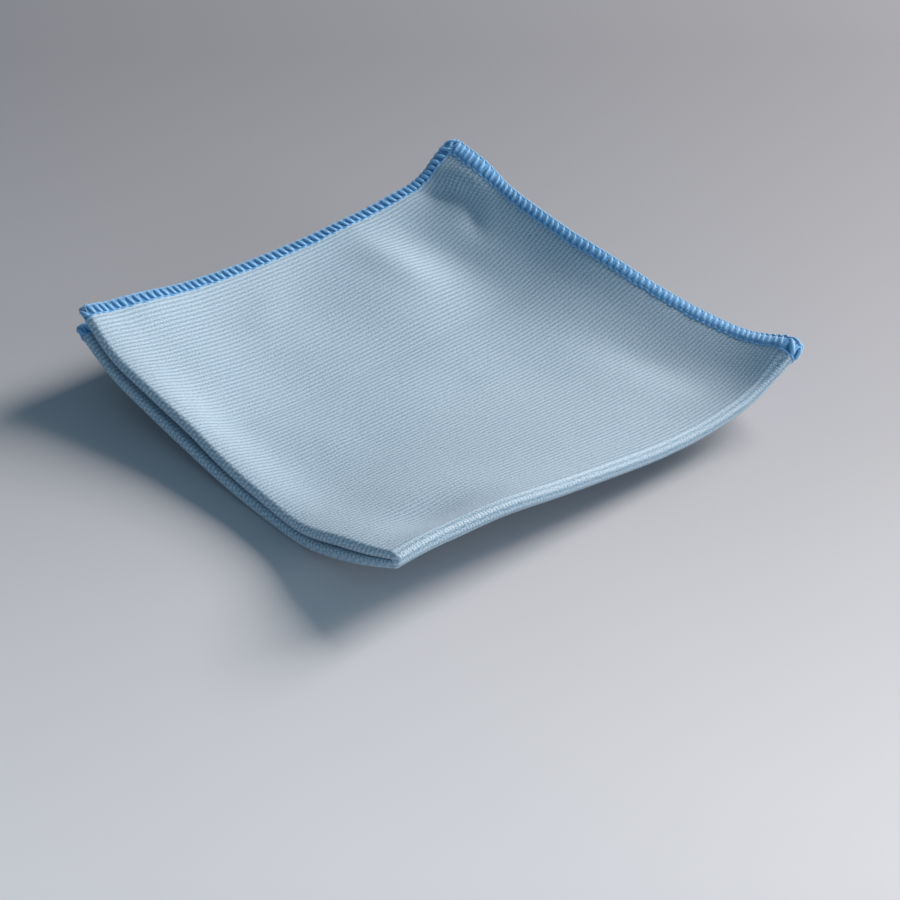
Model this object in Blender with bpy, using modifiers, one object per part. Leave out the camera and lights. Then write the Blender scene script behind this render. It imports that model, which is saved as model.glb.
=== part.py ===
"""A microfibre polishing cloth, folded in four and lying on its lowest layer.

The square cloth is folded in half along one line (the side fold) and in half again
across it (the front fold), which makes two pairs of layers.  folded_point() carries
each point of the flat cloth through both folds.

The frame is in metres, +Z up.  The origin is on the surface that the cloth lies on, at
the middle of its footprint.  The side fold is on the -X side and the front fold on the
-Y side; the four layers of hem lie along the +X and +Y sides.
"""

import math

import bmesh
import bpy
from mathutils import Vector

MM = 0.001

# The flat cloth.  All sizes are in mm.
CLOTH_SIDE = 400.0
HALF = CLOTH_SIDE / 2
SHEET_THICKNESS = 1.2
HEM_THICKNESS = 2.1
HEM_WIDTH = 4.5
HEM_STEP = 1.0

# Half the space between the two layers of a pair, from middle to middle
LAYER_HALF_GAP = 0.9
HEM_HALF_GAP = 1.25
SIDE_FOLD_HALF_GAP = 1.6

# The space between the lower pair and the upper pair, from middle to middle
FRONT_FOLD_PAIR_GAP = 3.5
OPEN_PAIR_GAP = 4.2
HEM_PAIR_GAP = 5.1
SIDE_FOLD_PAIR_GAP = 5.8

# How far in from a hem, a fold or the front corner these spaces take to settle
HEM_EASE = 22.0
SIDE_FOLD_EASE = 26.0
FRONT_FOLD_EASE = 40.0
FRONT_CORNER_EASE = 34.0

# The upper pair springs up from the lower one by this share of the lift below it,
# between these distances from the front fold
FAN_SHARE = 0.2
FAN_START = 12.0
FAN_END = 80.0

# Lift of the lowest layer at each corner
CORNER_LIFT = {"front": 19.0, "left": 21.0, "right": 24.0, "back": 27.5}

# Lift of the lowest layer along each side, every RIM_STEP between its two corners; how
# far in from the side that lift reaches, and the power it dies away with
RIM_STEP = 25.0
RIMS = {
    #              from     to       lift between them                       reach power
    "side_fold": ("front", "left", (8.5, 1.2, 0.2, 1.5, 4.5, 8.0, 12.5), 66.0, 2.8),
    "front_fold": ("front", "right", (19.5, 17.5, 14.0, 11.0, 8.5, 8.5, 12.5), 84.0, 1.6),
    "left_hem": ("left", "back", (19.0, 15.0, 13.0, 12.5, 13.2, 16.0, 20.0), 80.0, 1.2),
    "right_hem": ("right", "back", (15.0, 11.6, 12.0, 16.0, 19.6, 23.0, 25.4), 79.0, 2.1),
}

# Soft ridges and hollows of the whole cloth, and those that only the upper pair has.
# x and y run from the front corner, and heading is in degrees from the +X axis.
LIFTS = {
    #                      x      y   heading length width height
    "back_peak": (198.0, 198.0, 45.0, 10.0, 10.0, 1.5),
    "right_edge_curl": (197.0, 181.0, 90.0, 14.0, 12.0, 2.2),
    "left_edge_dip": (172.0, 197.0, 0.0, 12.0, 14.0, -0.6),
    "front_corner_hollow": (30.0, 14.0, 0.0, 16.0, 12.0, -3.2),
}
SWELLS = {
    #                x      y   heading length width height
    "back_ridge": (143.0, 172.0, 98.0, 30.0, 11.0, 1.2),
    "middle_dent": (105.0, 93.0, 60.0, 10.0, 8.0, -0.5),
    "back_dent": (110.0, 163.0, 100.0, 14.0, 8.0, -0.5),
    "corner_crease": (181.0, 176.0, 98.0, 20.0, 5.0, -1.6),
    "left_shoulder": (16.0, 120.0, 90.0, 60.0, 12.0, 1.1),
}

# Grid lines on the flat cloth: their distances from a fold line, then even steps
FOLD_LINES = (1.1, 2.2, 3.3, 4.6, 7.5, 12.0, 18.0)
OPEN_STEPS = 14

CLOTH_COLOR = (0.42, 0.56, 0.66, 1.0)
THREAD_COLOR = (0.05, 0.27, 0.62, 1.0)


def smooth(value):
    """Ease from 0 to 1 as value goes from 0 to 1."""
    t = min(max(value, 0.0), 1.0)
    return t * t * (3 - 2 * t)


def curve_through(heights, place):
    """Read a smooth curve through evenly spaced heights at place, counted in spaces."""
    spans = len(heights) - 1
    at = min(max(place, 0.0), spans)
    first = min(int(at), spans - 1)
    t = at - first
    before_start = 2 * heights[0] - heights[1]
    after_end = 2 * heights[-1] - heights[-2]
    a, b, c, d = [before_start, *heights, after_end][first:first + 4]
    bend = t * (2 * a - 5 * b + 4 * c - d + t * (3 * (b - c) + d - a))
    return b + 0.5 * t * (c - a + bend)


def rise_at(ridges, x, y):
    """Rise of a table of soft ridges and hollows."""
    rise = 0.0
    for at_x, at_y, heading, length, width, height in ridges.values():
        turn = math.radians(heading)
        lengthwise = ((x - at_x) * math.cos(turn) + (y - at_y) * math.sin(turn)) / length
        crosswise = ((y - at_y) * math.cos(turn) - (x - at_x) * math.sin(turn)) / width
        rise += height * math.exp(-lengthwise ** 2 - crosswise ** 2)
    return rise


def lowest_layer(x, y):
    """Point of the lowest layer that lies x and y from the front corner along the cloth.

    Each side lifts its own strip, and a corner that two sides lift counts once.  A strip
    that slopes up also draws in towards the middle, half as much at its ends.
    """
    inward = {"side_fold": x, "front_fold": y, "left_hem": HALF - y, "right_hem": HALF - x}
    along = {"side_fold": y, "front_fold": x, "left_hem": x, "right_hem": y}
    share = {}
    drawn_in = {}
    height = rise_at(LIFTS, x, y)
    for side, (start, end, between, reach, power) in RIMS.items():
        stations = (CORNER_LIFT[start], *between, CORNER_LIFT[end])
        edge = curve_through(stations, along[side] / RIM_STEP)
        near = max(1 - inward[side] / reach, 0.0)
        share[side] = near ** power
        height += edge * share[side]
        slope_power = 2 * power - 1
        drawn_in[side] = (edge * power) ** 2 / (2 * reach * slope_power) * near ** slope_power
    for corner, corner_lift in CORNER_LIFT.items():
        first, second = [side for side, row in RIMS.items() if corner in row]
        height -= corner_lift * share[first] * share[second]
        drawn_in[first] *= 1 - 0.5 * share[second]
        drawn_in[second] *= 1 - 0.5 * share[first]
    return Vector((
        x + drawn_in["side_fold"] - drawn_in["right_hem"],
        y + drawn_in["front_fold"] - drawn_in["left_hem"],
        height,
    ))


def lowest_layer_frame(x, y):
    """The same point with the direction square to the layer there."""
    step = 0.5
    across = lowest_layer(x + step, y) - lowest_layer(x - step, y)
    back = lowest_layer(x, y + step) - lowest_layer(x, y - step)
    return lowest_layer(x, y), across.cross(back).normalized()


def nearness(from_side, from_front):
    """How much a point feels the hems, the side fold and the front fold, 0 to 1."""
    hem = max(smooth(1 - (HALF - from_side) / HEM_EASE), smooth(1 - (HALF - from_front) / HEM_EASE))
    side = smooth(1 - from_side / SIDE_FOLD_EASE) * smooth(from_front / FRONT_CORNER_EASE)
    front = smooth(1 - from_front / FRONT_FOLD_EASE)
    return hem, side, front


def half_gap(from_side, from_front):
    """Half the space between the two layers of a pair."""
    hem, side, _front = nearness(from_side, from_front)
    at_hem = (HEM_HALF_GAP - LAYER_HALF_GAP) * hem
    at_side_fold = (SIDE_FOLD_HALF_GAP - LAYER_HALF_GAP) * side
    return LAYER_HALF_GAP + max(at_hem, at_side_fold)


def pair_gap(from_side, from_front):
    """The space between the lower pair and the upper pair."""
    hem, side, front = nearness(from_side, from_front)
    gap = OPEN_PAIR_GAP + (FRONT_FOLD_PAIR_GAP - OPEN_PAIR_GAP) * front
    at_hem = (HEM_PAIR_GAP - gap) * hem
    at_side_fold = (SIDE_FOLD_PAIR_GAP - gap) * side
    fan = smooth((from_front - FAN_START) / (FAN_END - FAN_START)) * FAN_SHARE
    return gap + max(at_hem, at_side_fold) + fan * lowest_layer(from_side, from_front).z


def side_folded(across, from_front):
    """Place and offset of a point in its pair, after the side fold.

    across runs over the side fold, from the inner layer's hem to the outer layer's.
    """
    from_side = abs(across)
    turn_radius = half_gap(0.0, from_front)
    quarter_turn = math.pi / 2 * turn_radius
    if from_side < quarter_turn:
        angle = across / turn_radius
        return turn_radius * (1 - math.cos(angle)), turn_radius * math.sin(angle)
    offset = math.copysign(half_gap(from_side, from_front), across)
    return turn_radius + from_side - quarter_turn, offset


def folded_point(across, along):
    """Carry a point of the flat cloth through both folds, to its place in mm.

    along runs over the front fold, from the lower pair's hem to the upper pair's.
    """
    from_side = abs(across)
    from_front = abs(along)
    x, offset = side_folded(across, from_front)
    turn_radius = pair_gap(from_side, 0.0) / 2 + side_folded(across, 0.0)[1]
    turn_centre = FRONT_FOLD_PAIR_GAP / 2 + LAYER_HALF_GAP
    half_height = pair_gap(from_side, from_front) / 2
    quarter_turn = math.pi / 2 * turn_radius
    if from_front < quarter_turn:
        angle = along / turn_radius
        y = turn_centre - turn_radius * math.cos(angle)
        rise = (half_height + offset) * math.sin(angle)
    else:
        y = turn_centre + from_front - quarter_turn
        rise = math.copysign(half_height + offset, along)
        if along > 0:
            rise += rise_at(SWELLS, from_side, from_front)
    base, normal = lowest_layer_frame(x, y)
    middle = SHEET_THICKNESS / 2 + half_gap(from_side, from_front) + half_height
    return base + normal * (middle + rise)


def grid_lines():
    """Places of the grid lines across the flat cloth, from hem to hem."""
    last_fold_line = FOLD_LINES[-1]
    hem_edge = HALF - HEM_WIDTH
    pitch = (hem_edge - HEM_STEP - last_fold_line) / OPEN_STEPS
    lines = [0.0, *FOLD_LINES]
    lines += [last_fold_line + pitch * step for step in range(1, OPEN_STEPS + 1)]
    lines += [hem_edge, HALF]
    return [-line for line in reversed(lines[1:])] + lines


def split_evenly(mesh, flat):
    """Cut every four-sided face in two, the same way up and down the layers."""
    for face in list(mesh.faces):
        middle = sum((flat[vert] for vert in face.verts), Vector((0, 0))) / 4
        lean = 1 if middle.x * middle.y > 0 else -1
        corners = sorted(face.verts, key=lambda vert: flat[vert].x + lean * flat[vert].y)
        bmesh.utils.face_split(face, corners[0], corners[-1])


def sheet_mesh():
    """The sheet's middle surface: a flat grid moved through the folds."""
    lines = grid_lines()
    cells = len(lines) - 1
    mesh = bmesh.new()
    bmesh.ops.create_grid(mesh, x_segments=cells, y_segments=cells, size=cells / 2)
    flat = {}
    for vert in mesh.verts:
        column = round(vert.co.x + cells / 2)
        row = round(vert.co.y + cells / 2)
        flat[vert] = Vector((lines[column], lines[row]))
    split_evenly(mesh, flat)
    for face in mesh.faces:
        middle = sum((flat[vert] for vert in face.verts), Vector((0, 0))) / 3
        in_hem = max(abs(middle.x), abs(middle.y)) > HALF - HEM_WIDTH
        face.material_index = int(in_hem)
        face.smooth = True
    for vert in mesh.verts:
        vert.co = folded_point(*flat[vert])
    centre_on_footprint(mesh)
    hem_verts = [vert.index for vert in mesh.verts if max(map(abs, flat[vert])) > HALF - HEM_WIDTH - 0.01]
    result = bpy.data.meshes.new("folded_cloth")
    mesh.to_mesh(result)
    mesh.free()
    return result, hem_verts


def centre_on_footprint(mesh):
    """Move the sheet so that the middle of its footprint is at the origin, in metres."""
    across = [vert.co.x for vert in mesh.verts]
    along = [vert.co.y for vert in mesh.verts]
    middle = Vector((min(across) + max(across), min(along) + max(along), 0)) / 2
    for vert in mesh.verts:
        vert.co = (vert.co - middle) * MM


def cloth_material():
    """Pale blue knitted microfibre."""
    material = bpy.data.materials.new("cloth")
    material.use_nodes = True
    shader = material.node_tree.nodes["Principled BSDF"]
    shader.inputs["Base Color"].default_value = CLOTH_COLOR
    shader.inputs["Roughness"].default_value = 0.85
    shader.inputs["Metallic"].default_value = 0.0
    return material


def thread_material():
    """Brighter blue thread that covers the hem."""
    material = bpy.data.materials.new("edge_thread")
    material.use_nodes = True
    shader = material.node_tree.nodes["Principled BSDF"]
    shader.inputs["Base Color"].default_value = THREAD_COLOR
    shader.inputs["Roughness"].default_value = 0.6
    shader.inputs["Metallic"].default_value = 0.0
    return material


def folded_cloth():
    """The whole cloth: one sheet, thicker along its hem."""
    mesh, hem_verts = sheet_mesh()
    cloth = bpy.data.objects.new("folded_cloth", mesh)
    cloth.data.materials.append(cloth_material())
    cloth.data.materials.append(thread_material())
    hem = cloth.vertex_groups.new(name="hem")
    hem.add(hem_verts, 1.0, "REPLACE")
    solid = cloth.modifiers.new("thickness", "SOLIDIFY")
    solid.thickness = HEM_THICKNESS * MM
    solid.offset = 0.0
    solid.vertex_group = "hem"
    solid.thickness_vertex_group = SHEET_THICKNESS / HEM_THICKNESS
    return cloth


def main():
    for leftover in list(bpy.data.objects):
        bpy.data.objects.remove(leftover, do_unlink=True)
    collection = bpy.data.collections.new("microfibre_cloth")
    bpy.context.scene.collection.children.link(collection)
    collection.objects.link(folded_cloth())


main()
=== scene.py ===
"""The finished look of a folded microfibre cloth: its ribbed sheet and overlocked hem."""

import math

import bpy
import numpy as np
from mathutils import Euler, Matrix, Vector


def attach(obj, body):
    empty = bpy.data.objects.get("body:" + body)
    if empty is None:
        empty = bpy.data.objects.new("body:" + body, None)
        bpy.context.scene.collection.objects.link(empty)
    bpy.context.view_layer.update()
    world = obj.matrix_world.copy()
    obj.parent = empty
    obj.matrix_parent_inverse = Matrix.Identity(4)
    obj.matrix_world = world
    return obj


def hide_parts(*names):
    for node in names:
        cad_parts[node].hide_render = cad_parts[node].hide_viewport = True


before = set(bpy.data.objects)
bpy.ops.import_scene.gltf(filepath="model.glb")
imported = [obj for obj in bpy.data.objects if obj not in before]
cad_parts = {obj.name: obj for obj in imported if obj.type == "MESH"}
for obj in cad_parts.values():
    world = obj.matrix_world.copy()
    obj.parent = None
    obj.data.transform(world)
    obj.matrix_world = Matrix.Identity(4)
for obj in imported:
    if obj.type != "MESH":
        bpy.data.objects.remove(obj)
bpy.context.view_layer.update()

MM = 0.001

# The flat cloth and its folds, in mm, as in the solid that the sheet replaces
HALF = 200.0
SHEET_THICKNESS = 1.2
HEM_WIDTH = 4.5
HEM_EDGE = HALF - HEM_WIDTH

# Half the space between the two layers of a pair, from middle to middle
LAYER_HALF_GAP = 0.9
HEM_HALF_GAP = 1.25
SIDE_FOLD_HALF_GAP = 1.6

# The space between the lower pair and the upper pair, from middle to middle
FRONT_FOLD_PAIR_GAP = 3.5
OPEN_PAIR_GAP = 4.2
HEM_PAIR_GAP = 5.1
SIDE_FOLD_PAIR_GAP = 5.8

# How far in from a hem, a fold or the front corner these spaces take to settle
HEM_EASE = 22.0
SIDE_FOLD_EASE = 26.0
FRONT_FOLD_EASE = 40.0
FRONT_CORNER_EASE = 34.0

# The upper pair springs up from the lower one by this share of the lift below it,
# between these distances from the front fold
FAN_SHARE = 0.2
FAN_START = 12.0
FAN_END = 80.0

# The layers are laid even at the hem, as if the front fold took this much from each of
# them, and what it really takes is made up bit by bit on the way there
EVEN_TURN = 3.4

# Lift of the lowest layer at each corner
CORNER_LIFT = {"front": 19.0, "left": 21.0, "right": 24.0, "back": 27.5}

# Lift of the lowest layer along each side, every RIM_STEP between its two corners; how
# far in from the side that lift reaches, and the power it dies away with
RIM_STEP = 25.0
RIMS = {
    #              from     to       lift between them                       reach power
    "side_fold": ("front", "left", (8.5, 1.2, 0.2, 1.5, 4.5, 8.0, 12.5), 66.0, 2.8),
    "front_fold": ("front", "right", (19.5, 17.5, 14.0, 11.0, 8.5, 8.5, 12.5), 84.0, 1.6),
    "left_hem": ("left", "back", (19.0, 15.0, 13.0, 12.5, 13.2, 16.0, 20.0), 80.0, 1.2),
    "right_hem": ("right", "back", (15.0, 11.6, 12.0, 16.0, 19.6, 23.0, 25.4), 79.0, 2.1),
}

# A lifted rim is also drawn in.  Where two rims meet in a corner, each loses up to this
# share of that.
CORNER_LOSS = 0.5

# Soft ridges and hollows of the whole cloth, and those of the upper pair alone.  x and y
# run from the front corner in mm, and heading is in degrees from the +X axis.
LIFTS = {
    #                      x      y   heading length width height
    "back_peak": (198.0, 198.0, 45.0, 10.0, 10.0, 1.5),
    "right_edge_curl": (197.0, 181.0, 90.0, 14.0, 12.0, 2.2),
    "left_edge_dip": (172.0, 197.0, 0.0, 12.0, 14.0, -0.6),
    "front_corner_hollow": (30.0, 14.0, 0.0, 16.0, 12.0, -3.2),
}
SWELLS = {
    #                x      y   heading length width height
    "back_swell": (124.0, 152.0, 95.0, 36.0, 24.0, 4.0),
    "back_ridge": (134.0, 168.0, 98.0, 24.0, 9.0, 2.2),
    "back_trough": (157.0, 160.0, 98.0, 28.0, 9.0, -1.5),
    "middle_dent": (105.0, 93.0, 60.0, 10.0, 8.0, -0.5),
    "corner_crease": (179.5, 165.0, 66.0, 10.0, 3.6, -1.6),
    "corner_crease_bend": (184.5, 178.5, 98.0, 7.0, 3.4, -1.3),
    "corner_crease_end": (176.0, 188.5, 130.0, 9.0, 3.6, -1.6),
    "corner_flap": (190.5, 184.0, 100.0, 14.0, 4.0, 1.4),
    "right_hollow": (168.0, 50.0, 94.0, 34.0, 11.0, -1.5),
    "left_hollow": (52.0, 148.0, 95.0, 40.0, 20.0, -1.6),
    "left_shoulder": (7.0, 122.0, 90.0, 62.0, 8.0, 1.4),
    "left_streak": (75.0, 176.0, 49.0, 18.0, 6.0, 0.6),
    "left_spot": (43.0, 90.0, 90.0, 12.0, 5.0, 0.4),
}

# The square cloth's own four corners are rounded by this radius.  Thread beyond the edge
# is drawn in as if it lay no more than this many radii past the start of the rounding.
CORNER_RADIUS = 2.5
EDGE_REACH = 1.2

# The knit: ribs run along the front fold and die away beside the hem
RIB_COUNT = 200
RIB_PITCH = 2 * HALF / RIB_COUNT
RIB_SAMPLES = 3
RIB_RELIEF = 0.16
RIB_FADE = 2.0

# The knit's stitches lie along the ribs, and each slants by this share of its length
# over one rib.  The dashes push them out of step by up to this angle in radians.
STITCH_LENGTH = 1.3
STITCH_SLANT = 0.5
STITCH_STRAY = 5.0

# Grid lines over the side fold: their distances from it, and the even steps beyond them
# on either side of CREASES_FROM, where the sharper creases begin
FOLD_LINES = (0.5, 1.0, 1.5, 2.0, 2.5, 3.1, 4.0, 5.5, 8.0, 12.0)
CREASES_FROM = 150.0
INNER_STEPS = (8, 9)
OUTER_STEPS = (26, 14)
LAST_LINE_TO_HEM = 0.8
LAST_RIB_TO_HEM = 0.3

# The overlock stitches along the hem, and the sheet's thickness under them
STITCHES_PER_SIDE = 125
STITCH_PITCH = 2 * HALF / STITCHES_PER_SIDE
SEAM_SHEET_THICKNESS = 1.0
THREAD_END_TO_CORNER = 0.2

# Within this distance of a fold, thread loses this share of its bulk on the inner side
# and gains this one on the outer side
FOLD_PRESS = 6.0
PRESSED_SHARE = 0.55
SPREAD_SHARE = 0.35

# How unevenly the thread lies: spread of the places along the hem, of the reach over it
# and of the radius, each as a share
UNEVEN_PLACE = 0.04
UNEVEN_REACH = 0.04
UNEVEN_RADIUS = 0.06
UNEVEN_SEED = 7

# The floor, painted pale near the viewer and dark away from it as the light falls off.  That painted
# falloff begins and ends this far out from the cloth's middle, away from the viewer (m), with the middle
# colour at this share of the way.
FLOOR_HALF_SIDE = 6.0
FLOOR_NEAR = -0.26
FLOOR_FAR = 0.32
FLOOR_MIDDLE = 0.4

# Camera, from the photo: its place from the front corner in mm, its turn, its tilt and
# its roll in degrees, and its focal length in pixels of a square frame
CAMERA_FROM_CORNER = (-376.0, -476.8, 477.2)
CAMERA_TURN = -39.96
CAMERA_TILT = 33.97
CAMERA_ROLL = -0.57
FOCAL_PIXELS = 2300.0
FRAME_PIXELS = 900.0
SENSOR_WIDTH = 36.0
CLIP_START = 0.01

# Soft square lights that look at the cloth: direction from +X and elevation in degrees,
# distance and size in metres
LIGHTS = {
    #         direction elevation distance size power color
    "key": (-5.0, 31.0, 1.8, 0.9, 54.0, (1.0, 0.88, 0.81)),
    "front": (-62.0, 11.0, 1.5, 0.6, 8.0, (1.0, 0.95, 0.90)),
    "left": (-145.0, 8.0, 1.5, 0.6, 2.0, (0.90, 0.95, 1.0)),
}
ROOM_COLOR = (0.53, 0.79, 1.0, 1.0)
ROOM_STRENGTH = 0.27

# Colours of the knit, of the thread and of the floor
# Painted shade: the knit's dark colour also darkens every groove between the ribs, besides the grain that
# reaches it
GROOVE_SHADE_AND_DARK_GRAIN_COLOR = (0.085, 0.213, 0.345, 1.0)
CREST_COLOR = (0.500, 0.650, 0.765, 1.0)
UNDER_THREAD_COLOR = (0.045, 0.250, 0.530, 1.0)
THREAD_DARK = (0.060, 0.300, 0.610, 1.0)
THREAD_LIGHT = (0.330, 0.610, 0.870, 1.0)
THREAD_PATCH = (0.050, 0.250, 0.600, 1.0)
# Painted light and shade on the floor: pale near the viewer, darker in the middle and darkest far away
FLOOR_PAINTED_LIGHT_NEAR_COLOR = (0.780, 0.815, 0.860, 1.0)
FLOOR_PAINTED_FALLOFF_MIDDLE_COLOR = (0.405, 0.425, 0.460, 1.0)
FLOOR_PAINTED_SHADE_FAR_COLOR = (0.222, 0.234, 0.258, 1.0)
FLOOR_MOTTLE_COLOR = (0.250, 0.250, 0.260, 1.0)

CLOTH_FINISH = {
    "Roughness": 0.62,
    "Specular IOR Level": 0.35,
    "Sheen Weight": 0.35,
    "Sheen Roughness": 0.45,
    "Sheen Tint": (0.90, 0.95, 1.0, 1.0),
}
THREAD_FINISH = {
    "Roughness": 0.55,
    "Specular IOR Level": 0.35,
    "Sheen Weight": 0.4,
    "Sheen Roughness": 0.4,
}
FLOOR_FINISH = {"Roughness": 0.6, "Specular IOR Level": 0.2}

# Noises of the materials.  The knit's first three are laid over the flat cloth in mm, the
# dashes after its two directions are multiplied by DASH_STRETCH; the others over metres.
NOISES = {
    #           scale detail roughness
    "dashes": (1.0, 2.0, 0.5),
    "fibres": (2.6, 3.0, 0.75),
    "patches": (0.02, 3.0, 0.5),
    "thread_fibres": (1500.0, 3.0, 0.5),
    "thread_patches": (90.0, 2.0, 0.5),
    "floor_mottle": (9.0, 3.0, 0.5),
}
DASH_STRETCH = (0.9, 2.2, 1.0)
THREAD_PATCH_SHARE = 0.3
FLOOR_MOTTLE_SHARE = 0.08

# Shade of the knit, from the dark colour at 0 to the crest colour at 1: the shade of a crest, the painted
# shade that a groove adds to it, what the stitches add, and how far each noise swings it
CREST_SHADE = 0.95
GROOVE_PAINTED_SHADE = -0.64
STITCH_SHADE = 0.38
DASH_SWING = 1.4
FIBRE_SWING = 6.5
PATCH_SWING = 0.3

# Fine relief of the knit, in depths of its bump, and the bumps themselves (m)
FIBRE_RELIEF = 1.2
DASH_RELIEF = 0.8
STITCH_RELIEF = 0.3
GROOVE_DEPTH = 0.4
KNIT_BUMP = {"Strength": 0.65, "Distance": 0.00018}
THREAD_BUMP = {"Strength": 0.5, "Distance": 0.0001}


# ---------------------------------------------------------------- the folded shape


def smooth(value):
    """Ease from 0 to 1 as value goes from 0 to 1."""
    t = np.clip(value, 0.0, 1.0)
    return t * t * (3 - 2 * t)


def curve_through(heights, place):
    """Read a smooth curve through evenly spaced heights at place, counted in spaces."""
    spans = len(heights) - 1
    at = np.clip(place, 0.0, spans)
    first = np.minimum(at.astype(int), spans - 1)
    t = at - first
    before_start = 2 * heights[0] - heights[1]
    after_end = 2 * heights[-1] - heights[-2]
    row = np.array([before_start, *heights, after_end])
    a, b, c, d = (row[first + step] for step in range(4))
    bend = t * (2 * a - 5 * b + 4 * c - d + t * (3 * (b - c) + d - a))
    return b + 0.5 * t * (c - a + bend)


def rise_at(ridges, x, y):
    """Rise of a table of soft ridges and hollows."""
    rise = np.zeros_like(x)
    for at_x, at_y, heading, length, width, height in ridges.values():
        turn = math.radians(heading)
        lengthwise = ((x - at_x) * math.cos(turn) + (y - at_y) * math.sin(turn)) / length
        crosswise = ((y - at_y) * math.cos(turn) - (x - at_x) * math.sin(turn)) / width
        rise = rise + height * np.exp(-lengthwise ** 2 - crosswise ** 2)
    return rise


def lowest_layer(x, y):
    """Points of the lowest layer, x and y from the front corner along the cloth."""
    inward = {"side_fold": x, "front_fold": y, "left_hem": HALF - y, "right_hem": HALF - x}
    along = {"side_fold": y, "front_fold": x, "left_hem": x, "right_hem": y}
    share = {}
    drawn_in = {}
    height = rise_at(LIFTS, x, y)
    for side, (start, end, between, reach, power) in RIMS.items():
        stations = (CORNER_LIFT[start], *between, CORNER_LIFT[end])
        edge = curve_through(stations, along[side] / RIM_STEP)
        near = np.maximum(1 - inward[side] / reach, 0.0)
        share[side] = near ** power
        height = height + edge * share[side]
        slope_power = 2 * power - 1
        drawn_in[side] = (edge * power) ** 2 / (2 * reach * slope_power) * near ** slope_power
    for corner, corner_lift in CORNER_LIFT.items():
        first, second = [side for side, row in RIMS.items() if corner in row]
        height = height - corner_lift * share[first] * share[second]
        drawn_in[first] = drawn_in[first] * (1 - CORNER_LOSS * share[second])
        drawn_in[second] = drawn_in[second] * (1 - CORNER_LOSS * share[first])
    across = x + drawn_in["side_fold"] - drawn_in["right_hem"]
    back = y + drawn_in["front_fold"] - drawn_in["left_hem"]
    return np.stack([across, back, height], -1)


def unit(vectors):
    return vectors / np.linalg.norm(vectors, axis=-1, keepdims=True)


def lowest_layer_frame(x, y):
    """The same points with the directions square to the layer there."""
    step = 0.5
    across = lowest_layer(x + step, y) - lowest_layer(x - step, y)
    back = lowest_layer(x, y + step) - lowest_layer(x, y - step)
    return lowest_layer(x, y), unit(np.cross(across, back))


def nearness(from_side, from_front):
    """How much points feel the hems, the side fold and the front fold, 0 to 1."""
    right_hem = smooth(1 - (HALF - from_side) / HEM_EASE)
    left_hem = smooth(1 - (HALF - from_front) / HEM_EASE)
    side = smooth(1 - from_side / SIDE_FOLD_EASE) * smooth(from_front / FRONT_CORNER_EASE)
    front = smooth(1 - from_front / FRONT_FOLD_EASE)
    return np.maximum(right_hem, left_hem), side, front


def half_gap(from_side, from_front):
    """Half the space between the two layers of a pair."""
    hem, side, _front = nearness(from_side, from_front)
    at_hem = (HEM_HALF_GAP - LAYER_HALF_GAP) * hem
    at_side_fold = (SIDE_FOLD_HALF_GAP - LAYER_HALF_GAP) * side
    return LAYER_HALF_GAP + np.maximum(at_hem, at_side_fold)


def pair_gap(from_side, from_front):
    """The space between the lower pair and the upper pair."""
    hem, side, front = nearness(from_side, from_front)
    gap = OPEN_PAIR_GAP + (FRONT_FOLD_PAIR_GAP - OPEN_PAIR_GAP) * front
    at_hem = (HEM_PAIR_GAP - gap) * hem
    at_side_fold = (SIDE_FOLD_PAIR_GAP - gap) * side
    fan = smooth((from_front - FAN_START) / (FAN_END - FAN_START)) * FAN_SHARE
    return gap + np.maximum(at_hem, at_side_fold) + fan * lowest_layer(from_side, from_front)[..., 2]


def side_folded(across, from_front):
    """Places and offsets of points in their pair, after the side fold."""
    from_side = np.abs(across)
    turn_radius = half_gap(np.zeros_like(across), from_front)
    quarter_turn = math.pi / 2 * turn_radius
    angle = across / turn_radius
    in_turn = from_side < quarter_turn
    place = np.where(in_turn, turn_radius * (1 - np.cos(angle)), turn_radius + from_side - quarter_turn)
    flat_offset = np.copysign(half_gap(from_side, from_front), across)
    return place, np.where(in_turn, turn_radius * np.sin(angle), flat_offset)


def drawn_to_round(past, past_other):
    """How far a point past the start of a corner moves in to make the corner round."""
    other = np.minimum(past_other / CORNER_RADIUS, EDGE_REACH)
    return past * (np.sqrt(1 - other ** 2 / 2) - 1)


def rounded_corners(across, along):
    """Draw the square corners of the flat cloth in to round ones."""
    start = HALF - CORNER_RADIUS
    over = np.maximum(np.abs(across) - start, 0.0)
    on = np.maximum(np.abs(along) - start, 0.0)
    rounded_across = across + np.sign(across) * drawn_to_round(over, on)
    rounded_along = along + np.sign(along) * drawn_to_round(on, over)
    return rounded_across, rounded_along


def folded(across, along):
    """Carry points of the flat cloth through both folds, to their places in mm.

    across runs over the side fold and along over the front fold.
    """
    across, along = rounded_corners(np.asarray(across, float), np.asarray(along, float))
    from_side = np.abs(across)
    from_front = np.abs(along)
    at_front = np.zeros_like(along)
    x, offset = side_folded(across, from_front)
    turn_radius = pair_gap(from_side, at_front) / 2 + side_folded(across, at_front)[1]
    turn_centre = FRONT_FOLD_PAIR_GAP / 2 + LAYER_HALF_GAP
    half_height = pair_gap(from_side, from_front) / 2
    quarter_turn = math.pi / 2 * turn_radius
    angle = along / turn_radius
    in_turn = from_front < quarter_turn
    y_in_turn = turn_centre - turn_radius * np.cos(angle)
    made_up = (quarter_turn - EVEN_TURN) * smooth(from_front / HALF)
    y = np.where(in_turn, y_in_turn, turn_centre + from_front - quarter_turn + made_up)
    rise_in_turn = (half_height + offset) * np.sin(angle)
    rise_beyond = np.copysign(half_height + offset, along)
    rise_beyond = rise_beyond + np.where(along > 0, rise_at(SWELLS, from_side, from_front), 0.0)
    base, normal = lowest_layer_frame(x, y)
    middle = SHEET_THICKNESS / 2 + half_gap(from_side, from_front) + half_height
    rise = middle + np.where(in_turn, rise_in_turn, rise_beyond)
    return base + normal * rise[..., None]


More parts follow.
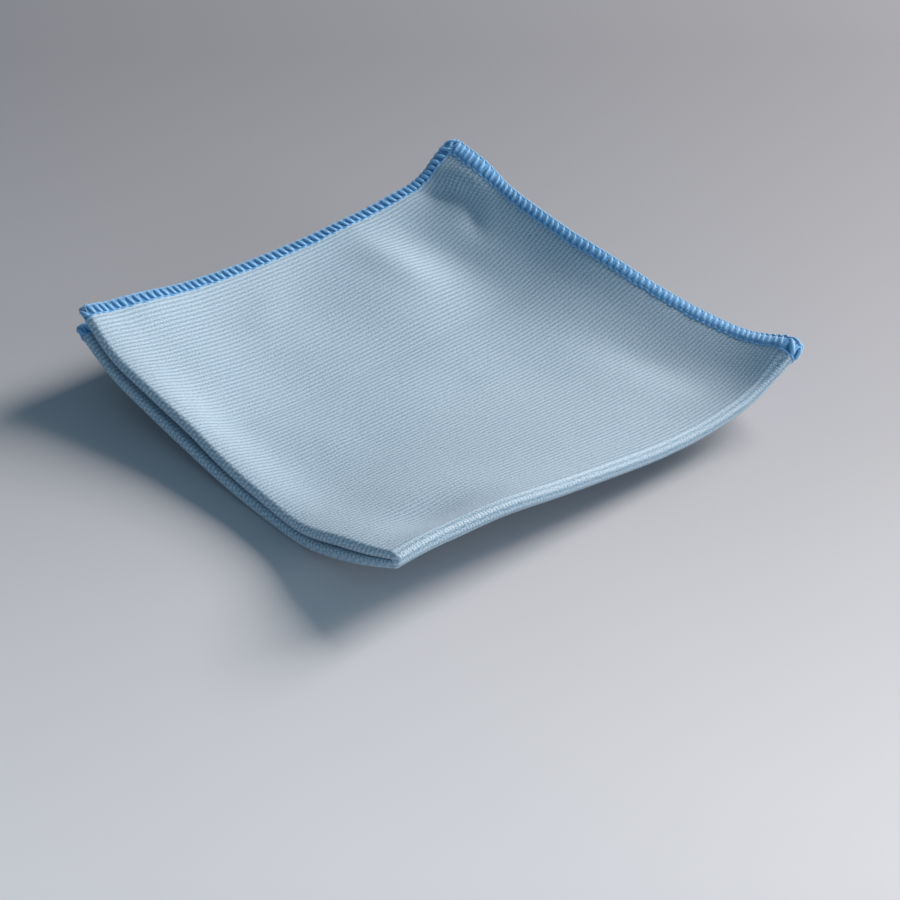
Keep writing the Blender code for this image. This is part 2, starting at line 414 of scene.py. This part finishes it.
def folded_with_normal(across, along):
    """The same places with the directions out of the cloth's face."""
    step = 0.05
    over = folded(across + step, along) - folded(across - step, along)
    on = folded(across, along + step) - folded(across, along - step)
    return folded(across, along), unit(np.cross(over, on))


def footprint_middle():
    """Middle of the folded cloth's footprint, from the front corner."""
    every_mm = np.arange(-HALF, HALF + 1)
    across, along = np.meshgrid(every_mm, every_mm)
    points = folded(across, along).reshape(-1, 3)
    middle = (points.min(0) + points.max(0)) / 2
    middle[2] = 0.0
    return middle


FOOTPRINT_MIDDLE = footprint_middle()


def to_frame(points):
    """From mm off the front corner to metres in the frame."""
    return (np.asarray(points) - FOOTPRINT_MIDDLE) * MM


# ---------------------------------------------------------------- the sheet


def add_object(name, points, faces, material):
    """A mesh object with smooth faces and one material."""
    mesh = bpy.data.meshes.new(name)
    mesh.from_pydata(points.tolist(), [], faces.tolist())
    mesh.update()
    mesh.shade_smooth()
    mesh.materials.append(material)
    piece = bpy.data.objects.new(name, mesh)
    bpy.context.scene.collection.objects.link(piece)
    return piece


def grid_faces(rows, columns):
    """Four-sided faces between the points of a grid, row by row."""
    first = np.arange(rows * columns).reshape(rows, columns)
    corners = [first[:-1, :-1], first[:-1, 1:], first[1:, 1:], first[1:, :-1]]
    return np.stack([corner.ravel() for corner in corners], -1)


def half_of_across_lines(steps):
    """Distances from the side fold of the grid lines on one half of the flat cloth."""
    steps_before, steps_beyond = steps
    before = np.linspace(FOLD_LINES[-1], CREASES_FROM, steps_before + 1)[1:]
    beyond = np.linspace(CREASES_FROM, HEM_EDGE - LAST_LINE_TO_HEM, steps_beyond + 1)[1:]
    return np.concatenate([FOLD_LINES, before, beyond, [HEM_EDGE, HALF]])


def across_lines():
    """Grid lines over the side fold, closer together on the outer layers."""
    inner_half = half_of_across_lines(INNER_STEPS)
    outer_half = half_of_across_lines(OUTER_STEPS)
    return np.concatenate([-inner_half[::-1], [0.0], outer_half])


def along_lines():
    """Grid lines over the front fold, a few to each rib."""
    count = RIB_COUNT * RIB_SAMPLES
    lines = (np.arange(count + 1) / count - 0.5) * 2 * HALF
    ribbed = lines[np.abs(lines) < HEM_EDGE - LAST_RIB_TO_HEM]
    return np.concatenate([[-HALF, -HEM_EDGE], ribbed, [HEM_EDGE, HALF]])


def rib_relief(across, along):
    """Height of the ribs, fading into the hem."""
    wave = np.cos(2 * math.pi * along / RIB_PITCH)
    to_hem = HEM_EDGE - np.maximum(np.abs(across), np.abs(along))
    return -RIB_RELIEF / 2 * wave * smooth(to_hem / RIB_FADE)


def thicken(piece, in_hem):
    """Give the sheet its thickness, which is less under the hem's thread."""
    hem = piece.vertex_groups.new(name="hem")
    hem.add(np.flatnonzero(in_hem).tolist(), 1.0, "REPLACE")
    inside = piece.vertex_groups.new(name="inside")
    inside.add(np.flatnonzero(~in_hem).tolist(), 1.0, "REPLACE")
    solid = piece.modifiers.new("thickness", "SOLIDIFY")
    solid.thickness = SHEET_THICKNESS * MM
    solid.offset = 0.0
    solid.vertex_group = "inside"
    solid.thickness_vertex_group = SEAM_SHEET_THICKNESS / SHEET_THICKNESS


def cloth_sheet(material):
    """The whole sheet with its ribs, thickened, and its flat coordinates in mm."""
    across, along = np.meshgrid(across_lines(), along_lines())
    places, normals = folded_with_normal(across, along)
    places = places + normals * rib_relief(across, along)[..., None]
    faces = grid_faces(*across.shape)
    piece = add_object("cloth_sheet", to_frame(places).reshape(-1, 3), faces, material)
    flat = np.stack([across.ravel(), along.ravel(), np.zeros(across.size)], -1)
    attribute = piece.data.attributes.new("flat_mm", "FLOAT_VECTOR", "POINT")
    attribute.data.foreach_set("vector", flat.astype(np.float32).ravel())
    rounding = 0.01
    thicken(piece, np.maximum(np.abs(flat[:, 0]), np.abs(flat[:, 1])) > HEM_EDGE - rounding)
    return piece


# ---------------------------------------------------------------- the hem's thread


# Sides of the flat cloth, each walked the same way round: its start corner and the
# direction of the walk, as signs of across and along
CLOTH_SIDES = {
    #         start     walk
    "right": ((1, -1), (0, 1)),
    "back": ((1, 1), (-1, 0)),
    "inner_right": ((-1, 1), (0, -1)),
    "lower_back": ((-1, -1), (1, 0)),
}

# One stitch of each thread: how far along the pitch, how far in from the edge and how
# high off the sheet's middle each point is, and the thread's radius there (mm)
LOOPER_STITCH = (
    # along  inward height radius
    (0.00, 4.30, 0.50, 0.56),
    (0.10, 3.60, 0.62, 0.80),
    (0.24, 2.60, 0.66, 0.92),
    (0.38, 1.50, 0.66, 0.94),
    (0.50, 0.50, 0.54, 0.84),
    (0.62, -0.15, 0.20, 0.62),
    (0.84, 0.10, 0.25, 0.42),
    (0.96, 1.30, 0.40, 0.36),
    (0.99, 3.00, 0.40, 0.36),
)
EDGE_STITCH = (
    # along  inward height radius
    (0.05, -0.20, 0.00, 0.56),
    (0.30, -0.32, 0.10, 0.64),
    (0.55, -0.36, 0.02, 0.66),
    (0.80, -0.28, -0.08, 0.60),
)
NEEDLE_STITCH = (
    # along  inward height radius
    (0.05, 4.45, 0.45, 0.28),
    (0.25, 4.50, 0.64, 0.36),
    (0.50, 4.55, 0.68, 0.38),
    (0.75, 4.50, 0.64, 0.36),
    (0.95, 4.45, 0.45, 0.28),
)

# The threads of the hem: the stitch, how tall the thread is for its width, the sides of
# its section, and the faces of the cloth that it lies on
THREADS = {
    "hem_loopers": (LOOPER_STITCH, 0.65, 6, (1, -1)),
    "hem_edge_loops": (EDGE_STITCH, 0.9, 6, (1,)),
    "hem_needle_thread": (NEEDLE_STITCH, 0.85, 5, (1, -1)),
}


def hem_flat(side, walked, inward):
    """Flat places in the hem of one side, some way along it and in from its edge."""
    start, walk = CLOTH_SIDES[side]
    turned_in = (-walk[1], walk[0])
    across = start[0] * HALF + walk[0] * walked + turned_in[0] * inward
    along = start[1] * HALF + walk[1] * walked + turned_in[1] * inward
    return across, along


def room_in_fold(across, along, face):
    """Share of its bulk that thread has: pressed inside a fold, spread outside it."""
    in_side_fold = smooth(1 - np.abs(across) / FOLD_PRESS) * (face < 0)
    near_front_fold = smooth(1 - np.abs(along) / FOLD_PRESS)
    pressed = np.maximum(in_side_fold, near_front_fold * (across < 0))
    spread = near_front_fold * (across > 0) * (face > 0)
    return 1 - PRESSED_SHARE * pressed + SPREAD_SHARE * spread


def tube(centres, normals, radii, flatness, sides):
    """Points and faces of a tube with an oval section, wide along the cloth."""
    ahead = np.gradient(centres, axis=0)
    wide = unit(np.cross(ahead, normals))
    tall = unit(np.cross(wide, ahead))
    turn = np.arange(sides) / sides * 2 * math.pi
    ring = wide[:, None] * np.cos(turn)[None, :, None]
    ring = ring + tall[:, None] * np.sin(turn)[None, :, None] * flatness
    points = (centres[:, None] + ring * radii[:, None, None]).reshape(-1, 3)
    first = np.arange(len(centres) - 1)[:, None] * sides
    here = np.arange(sides)[None]
    after = (here + 1) % sides
    corners = [first + here, first + after, first + sides + after, first + sides + here]
    return points, np.stack([corner.ravel() for corner in corners], -1)


def thread_path(stitch, side, face, jitter):
    """Centre line of one thread along one side, on one face of the cloth."""
    row = np.array(stitch)
    count = STITCHES_PER_SIDE
    shift = jitter.normal(0.0, UNEVEN_PLACE, (count, 1))
    walked = (np.arange(count)[:, None] + row[None, :, 0] + shift) * STITCH_PITCH
    inward = row[None, :, 1] * (1 + jitter.normal(0.0, UNEVEN_REACH, (count, 1)))
    height = face * row[None, :, 2] * np.ones((count, 1))
    radius = row[None, :, 3] * (1 + jitter.normal(0.0, UNEVEN_RADIUS, (count, 1)))
    if face < 0:
        walked = walked + STITCH_PITCH / 2
    walked = np.minimum(walked, 2 * HALF - THREAD_END_TO_CORNER)
    across, along = hem_flat(side, walked.ravel(), inward.ravel())
    room = room_in_fold(across, along, face)
    places, normals = folded_with_normal(across, along)
    return places + normals * (height.ravel() * room)[:, None], normals, radius.ravel() * room


def hem_thread(name, material):
    """One thread round the whole cloth."""
    stitch, flatness, sides, faces_of_cloth = THREADS[name]
    jitter = np.random.default_rng(UNEVEN_SEED)
    all_points = []
    all_faces = []
    count = 0
    for side in CLOTH_SIDES:
        for face in faces_of_cloth:
            places, normals, radii = thread_path(stitch, side, face, jitter)
            points, faces = tube(places, normals, radii, flatness, sides)
            all_points.append(points)
            all_faces.append(faces + count)
            count += len(points)
    points = to_frame(np.concatenate(all_points))
    return add_object(name, points, np.concatenate(all_faces), material)


# ---------------------------------------------------------------- materials


def new_material(name, finish):
    """A material with its shader's constants set."""
    material = bpy.data.materials.new(name)
    material.use_nodes = True
    tree = material.node_tree
    shader = tree.nodes["Principled BSDF"]
    for socket, value in finish.items():
        shader.inputs[socket].default_value = value
    return material, tree, shader


def feed(tree, socket, value):
    """Link a socket to another one, or set its value."""
    if isinstance(value, bpy.types.NodeSocket):
        tree.links.new(value, socket)
    else:
        socket.default_value = value


def node(tree, kind, settings=None, **inputs):
    """Add a node, change its settings, and feed its named inputs."""
    made = tree.nodes.new(kind)
    for key, value in (settings or {}).items():
        setattr(made, key, value)
    for key, value in inputs.items():
        feed(tree, made.inputs[key], value)
    return made


def math_node(tree, operation, *values):
    made = node(tree, "ShaderNodeMath", {"operation": operation})
    for socket, value in zip(made.inputs, values):
        feed(tree, socket, value)
    return made.outputs[0]


def vector_node(tree, operation, first, second):
    made = node(tree, "ShaderNodeVectorMath", {"operation": operation})
    feed(tree, made.inputs[0], first)
    feed(tree, made.inputs[1], second)
    return made


def mix_colors(tree, share, first, second):
    made = node(tree, "ShaderNodeMix", {"data_type": "RGBA"})
    # The node has sockets for each kind of value, and these are the ones for colours
    share_socket, first_socket, second_socket = made.inputs[0], made.inputs[6], made.inputs[7]
    feed(tree, share_socket, share)
    feed(tree, first_socket, first)
    feed(tree, second_socket, second)
    return made.outputs[2]


def noise(tree, name, place):
    """One of the named noises, from 0 to 1."""
    scale, detail, roughness = NOISES[name]
    made = node(tree, "ShaderNodeTexNoise", Vector=place, Scale=scale, Detail=detail, Roughness=roughness)
    return made.outputs[0]


def about_middle(tree, pattern, weight, total):
    """Add a pattern of 0 to 1 to a total, as a swing about its middle."""
    return math_node(tree, "MULTIPLY_ADD", math_node(tree, "SUBTRACT", pattern, 0.5), weight, total)


def slanted_stitches(tree, across, phase, dashes, crest):
    """The slanted stitches on the crests, pushed out of step by the dashes."""
    slant = math_node(tree, "MULTIPLY", phase, STITCH_SLANT)
    steps = math_node(tree, "MULTIPLY_ADD", across, 2 * math.pi / STITCH_LENGTH, slant)
    steps = math_node(tree, "MULTIPLY_ADD", dashes, STITCH_STRAY, steps)
    return math_node(tree, "MULTIPLY", math_node(tree, "SINE", steps), crest)


def knit_shade(tree, groove, stitch, dashes, fibres, patches):
    """Where the knit's colour lies between its dark colour and its crest colour, with painted shade in
    each groove.
    """
    shade = math_node(tree, "MULTIPLY_ADD", groove, GROOVE_PAINTED_SHADE, CREST_SHADE)
    shade = math_node(tree, "MULTIPLY_ADD", stitch, STITCH_SHADE, shade)
    shade = about_middle(tree, dashes, DASH_SWING, shade)
    shade = about_middle(tree, fibres, FIBRE_SWING, shade)
    return about_middle(tree, patches, PATCH_SWING, shade)


def knit_relief(tree, groove, stitch, dashes, fibres):
    """Fine relief of the knit, as a bump."""
    dash_height = math_node(tree, "MULTIPLY", dashes, DASH_RELIEF)
    height = math_node(tree, "MULTIPLY_ADD", fibres, FIBRE_RELIEF, dash_height)
    height = math_node(tree, "MULTIPLY_ADD", stitch, STITCH_RELIEF, height)
    height = math_node(tree, "SUBTRACT", height, math_node(tree, "MULTIPLY", groove, GROOVE_DEPTH))
    return node(tree, "ShaderNodeBump", Height=height, **KNIT_BUMP).outputs[0]


def cloth_material():
    """Ribbed microfibre knit with painted shade in its grooves, matt with a soft bloom, and blue under
    the hem's thread.
    """
    material, tree, shader = new_material("ribbed_microfibre", CLOTH_FINISH)
    flat = node(tree, "ShaderNodeAttribute", {"attribute_name": "flat_mm"}).outputs["Vector"]
    parts = node(tree, "ShaderNodeSeparateXYZ", Vector=flat)
    across, along = parts.outputs[0], parts.outputs[1]
    phase = math_node(tree, "MULTIPLY", along, 2 * math.pi / RIB_PITCH)
    groove = math_node(tree, "MULTIPLY_ADD", math_node(tree, "COSINE", phase), 0.5, 0.5)
    crest = math_node(tree, "SUBTRACT", 1.0, groove)
    # Dashes along the ribs, the grain of the fibres and soft wide patches
    dashes = noise(tree, "dashes", vector_node(tree, "MULTIPLY", flat, DASH_STRETCH).outputs[0])
    fibres = noise(tree, "fibres", flat)
    patches = noise(tree, "patches", flat)
    stitch = slanted_stitches(tree, across, phase, dashes, crest)
    # Painted shade: each groove darkens the knit's colour, besides the shading of the ribs' own relief
    shade = knit_shade(tree, groove, stitch, dashes, fibres, patches)
    knit_color = mix_colors(tree, shade, GROOVE_SHADE_AND_DARK_GRAIN_COLOR, CREST_COLOR)
    off_side = math_node(tree, "ABSOLUTE", across)
    off_front = math_node(tree, "ABSOLUTE", along)
    in_hem = math_node(tree, "GREATER_THAN", math_node(tree, "MAXIMUM", off_side, off_front), HEM_EDGE)
    feed(tree, shader.inputs["Base Color"], mix_colors(tree, in_hem, knit_color, UNDER_THREAD_COLOR))
    feed(tree, shader.inputs["Normal"], knit_relief(tree, groove, stitch, dashes, fibres))
    return material


def thread_material():
    """Bulky blue overlock thread, darker where its fibres part."""
    material, tree, shader = new_material("overlock_thread", THREAD_FINISH)
    place = node(tree, "ShaderNodeTexCoord").outputs["Object"]
    fibres = noise(tree, "thread_fibres", place)
    patches = noise(tree, "thread_patches", place)
    color = mix_colors(tree, fibres, THREAD_DARK, THREAD_LIGHT)
    patch_share = math_node(tree, "MULTIPLY", patches, THREAD_PATCH_SHARE)
    color = mix_colors(tree, patch_share, color, THREAD_PATCH)
    feed(tree, shader.inputs["Base Color"], color)
    bump = node(tree, "ShaderNodeBump", Height=fibres, **THREAD_BUMP)
    feed(tree, shader.inputs["Normal"], bump.outputs[0])
    return material


def painted_floor_falloff(tree, place):
    """Painted falloff of light: colour that darkens away from the viewer."""
    turn = math.radians(CAMERA_TURN)
    away = (-math.sin(turn), math.cos(turn), 0.0)
    reach = vector_node(tree, "DOT_PRODUCT", place, away).outputs["Value"]
    beyond_near = math_node(tree, "SUBTRACT", reach, FLOOR_NEAR)
    far = math_node(tree, "DIVIDE", beyond_near, FLOOR_FAR - FLOOR_NEAR)
    shade = node(tree, "ShaderNodeValToRGB", Fac=far)
    ramp = shade.color_ramp
    ramp.interpolation = "B_SPLINE"
    ramp.elements[0].color = FLOOR_PAINTED_LIGHT_NEAR_COLOR
    ramp.elements[1].color = FLOOR_PAINTED_SHADE_FAR_COLOR
    ramp.elements.new(FLOOR_MIDDLE).color = FLOOR_PAINTED_FALLOFF_MIDDLE_COLOR
    return shade.outputs[0]


def floor_material():
    """Matt paper with a faint mottle, painted pale near the viewer and dark away from it as the light
    falls off.
    """
    material, tree, shader = new_material("studio_floor", FLOOR_FINISH)
    place = node(tree, "ShaderNodeTexCoord").outputs["Object"]
    mottle = math_node(tree, "MULTIPLY", noise(tree, "floor_mottle", place), FLOOR_MOTTLE_SHARE)
    color = mix_colors(tree, mottle, painted_floor_falloff(tree, place), FLOOR_MOTTLE_COLOR)
    feed(tree, shader.inputs["Base Color"], color)
    return material


# ---------------------------------------------------------------- stage


def studio_floor():
    """A wide floor at the bottom of the lowest ribs."""
    half = FLOOR_HALF_SIDE
    level = -RIB_RELIEF / 2 * MM
    corners = [(-half, -half, level), (half, -half, level), (half, half, level), (-half, half, level)]
    face = np.array([[0, 1, 2, 3]])
    floor = add_object("studio_floor", np.array(corners), face, floor_material())


def add_light(name):
    """One of the soft square lights, looking at the cloth."""
    direction, elevation, distance, size, power, color = LIGHTS[name]
    turn = math.radians(direction)
    rise = math.radians(elevation)
    flat = math.cos(rise) * distance
    place = Vector((math.cos(turn) * flat, math.sin(turn) * flat, math.sin(rise) * distance))
    light = bpy.data.lights.new(name, "AREA")
    light.shape = "SQUARE"
    light.size = size
    light.energy = power
    light.color = color
    lamp = bpy.data.objects.new(name, light)
    lamp.location = place
    lamp.rotation_euler = (-place).to_track_quat("-Z", "Y").to_euler()
    bpy.context.scene.collection.objects.link(lamp)


def light_studio():
    for name in LIGHTS:
        add_light(name)
    world = bpy.data.worlds.new("studio")
    world.use_nodes = True
    background = world.node_tree.nodes["Background"]
    background.inputs["Color"].default_value = ROOM_COLOR
    background.inputs["Strength"].default_value = ROOM_STRENGTH
    bpy.context.scene.world = world


def add_camera():
    camera = bpy.data.cameras.new("camera")
    camera.sensor_width = SENSOR_WIDTH
    camera.lens = SENSOR_WIDTH * FOCAL_PIXELS / FRAME_PIXELS
    camera.clip_start = CLIP_START
    viewer = bpy.data.objects.new("camera", camera)
    viewer.location = to_frame(CAMERA_FROM_CORNER)
    aimed = Euler((math.radians(90.0 - CAMERA_TILT), 0.0, math.radians(CAMERA_TURN))).to_matrix()
    rolled = Matrix.Rotation(math.radians(CAMERA_ROLL), 3, "Z")
    viewer.rotation_euler = (aimed @ rolled).to_euler()
    bpy.context.scene.collection.objects.link(viewer)
    bpy.context.scene.camera = viewer


def main():
    thread = thread_material()
    sheet = cloth_sheet(cloth_material())
    threads = [hem_thread(name, thread) for name in THREADS]
    for piece in (sheet, *threads):
        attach(piece, "root")
    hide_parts("folded_cloth")
    studio_floor()
    light_studio()
    add_camera()
    bpy.context.scene.view_settings.view_transform = "Standard"


main()
